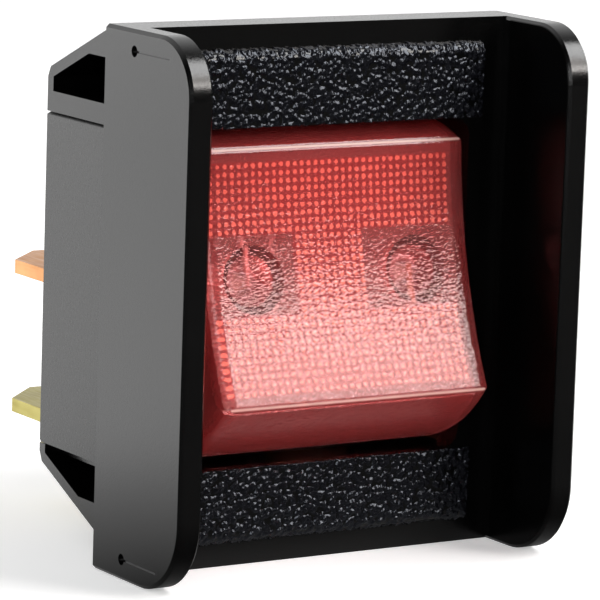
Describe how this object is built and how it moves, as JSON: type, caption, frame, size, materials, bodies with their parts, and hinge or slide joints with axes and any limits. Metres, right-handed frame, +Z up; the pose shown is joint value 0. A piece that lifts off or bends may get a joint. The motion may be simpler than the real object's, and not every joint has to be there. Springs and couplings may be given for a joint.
{
  "type": "panel rocker switch",
  "caption": "Snap-in panel rocker switch with a lighted red rocker between two guard walls, sprung plungers, rocking contact blades and quick-connect tabs.",
  "frame": {"origin": "middle of the flange's back face, which seats on the panel", "axes": "+X to the right seen from the front, +Y into the panel towards the tabs, +Z up along the rocker"},
  "size_m": [0.0264, 0.0288, 0.031],
  "materials": {
    "bezel_plastic": "moulded, fine grain",
    "base_plastic": "moulded, fine grain",
    "red_lens": "translucent, gloss",
    "white_plastic": "moulded",
    "lamp_glass": "clear",
    "lead_wire": "tinned",
    "resistor_body": "lacquered",
    "spring_steel": "drawn wire",
    "copper_strip": "bare copper alloy",
    "brass_strip": "bare",
    "contact_silver": "satin"
  },
  "bodies": {
    "housing": {"bezel_frame": "bezel_plastic", "base_housing": "base_plastic", "center_terminal_left": "copper_strip", "center_terminal_right": "copper_strip", "end_terminal_left": "brass_strip", "end_terminal_right": "brass_strip", "fixed_contact_left": "contact_silver", "fixed_contact_right": "contact_silver"},
    "rocker": {"rocker_lens": "red_lens", "lamp_tray": "white_plastic", "neon_lamp": "lamp_glass", "lamp_lead": "lead_wire", "link_lead": "lead_wire", "lamp_resistor": "resistor_body", "plunger_spring_left": "spring_steel", "plunger_spring_right": "spring_steel"},
    "plunger_left": {"plunger_left": "white_plastic"},
    "plunger_right": {"plunger_right": "white_plastic"},
    "blade_left": {"contact_blade_left": "copper_strip", "moving_contact_left": "contact_silver"},
    "blade_right": {"contact_blade_right": "copper_strip", "moving_contact_right": "contact_silver"}
  },
  "joints": [
    {"name": "rocker_hinge", "type": "hinge", "parent": "housing", "child": "rocker", "pos_m": [0, 0.0008, 0], "axis": [1, 0, 0], "range_deg": [0, 29]},
    {"name": "plunger_left_slide", "type": "slide", "parent": "rocker", "child": "plunger_left", "axis": [0, -0.9681, 0.2504], "range_m": [0, 0.0005], "stiffness_N_per_m": 500, "springref_m": -0.001, "deforming": ["plunger_spring_left"]},
    {"name": "blade_left_hinge", "type": "hinge", "parent": "housing", "child": "blade_left", "pos_m": [-0.00545, 0.0068, 0], "axis": [1, 0, 0], "range_deg": [-14, 0]},
    {"name": "plunger_right_slide", "type": "slide", "parent": "rocker", "child": "plunger_right", "axis": [0, -0.9681, 0.2504], "range_m": [0, 0.0005], "stiffness_N_per_m": 500, "springref_m": -0.001, "deforming": ["plunger_spring_right"]},
    {"name": "blade_right_hinge", "type": "hinge", "parent": "housing", "child": "blade_right", "pos_m": [0.00545, 0.0068, 0], "axis": [1, 0, 0], "range_deg": [-14, 0]}
  ],
  "couplings": [
    {"joint": "blade_left_hinge", "follows": "rocker_hinge", "ratio": -0.4827},
    {"joint": "blade_right_hinge", "follows": "rocker_hinge", "ratio": -0.4827}
  ]
}
